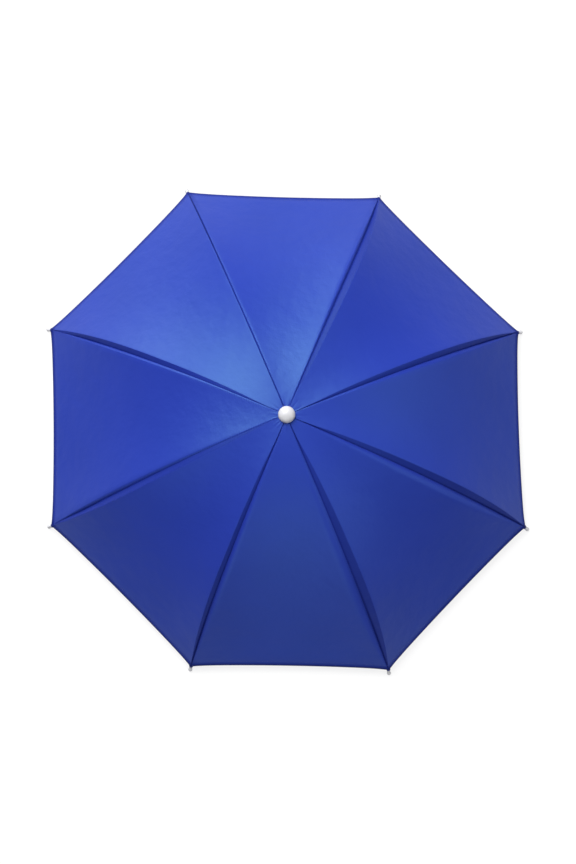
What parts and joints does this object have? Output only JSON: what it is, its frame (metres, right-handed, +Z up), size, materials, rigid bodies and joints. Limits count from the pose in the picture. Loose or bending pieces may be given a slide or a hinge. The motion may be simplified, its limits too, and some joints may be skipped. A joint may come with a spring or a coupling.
{
  "type": "umbrella hat",
  "caption": "Domed cloth umbrella worn on the head: sewn gores stretched over bent steel ribs with round white tips, on an elastic headband.",
  "frame": {"origin": "below the crown, on the plane that the eight rib tips rest on, at the centre of the bounding box's base", "axes": "+Z up through the crown; +X to the picture's right and +Y to its top, each midway between two ribs"},
  "size_m": [0.5287, 0.5364, 0.1571],
  "materials": {
    "canopy_cloth": "royal blue woven polyester with a soft satin sheen, sewn seams and a folded stitched hem",
    "white_plastic": "smooth moulded white plastic",
    "plated_steel": "zinc-plated drawn steel wire, slightly dulled",
    "webbing": "black woven elastic webbing with lengthwise ribs",
    "black_plastic": "fine-grained moulded black plastic"
  },
  "bodies": {
    "root": {"canopy": "canopy_cloth", "crown_cap": "white_plastic", "hub": "white_plastic", "headband": "webbing", "rib_right_up": "plated_steel", "rib_top_right": "plated_steel", "rib_top_left": "plated_steel", "rib_left_up": "plated_steel", "rib_left_low": "plated_steel", "rib_bottom_left": "plated_steel", "rib_bottom_right": "plated_steel", "rib_right_low": "plated_steel", "rib_tip_right_up": "white_plastic", "rib_tip_top_right": "white_plastic", "rib_tip_top_left": "white_plastic", "rib_tip_left_up": "white_plastic", "rib_tip_left_low": "white_plastic", "rib_tip_bottom_left": "white_plastic", "rib_tip_bottom_right": "white_plastic", "rib_tip_right_low": "white_plastic", "strut_right_up": "plated_steel", "strut_top_right": "plated_steel", "strut_top_left": "plated_steel", "strut_left_up": "plated_steel", "strut_left_low": "plated_steel", "strut_bottom_left": "plated_steel", "strut_bottom_right": "plated_steel", "strut_right_low": "plated_steel", "band_loop_right_up": "black_plastic", "band_loop_top_right": "black_plastic", "band_loop_top_left": "black_plastic", "band_loop_left_up": "black_plastic", "band_loop_left_low": "black_plastic", "band_loop_bottom_left": "black_plastic", "band_loop_bottom_right": "black_plastic", "band_loop_right_low": "black_plastic"}
  },
  "joints": []
}
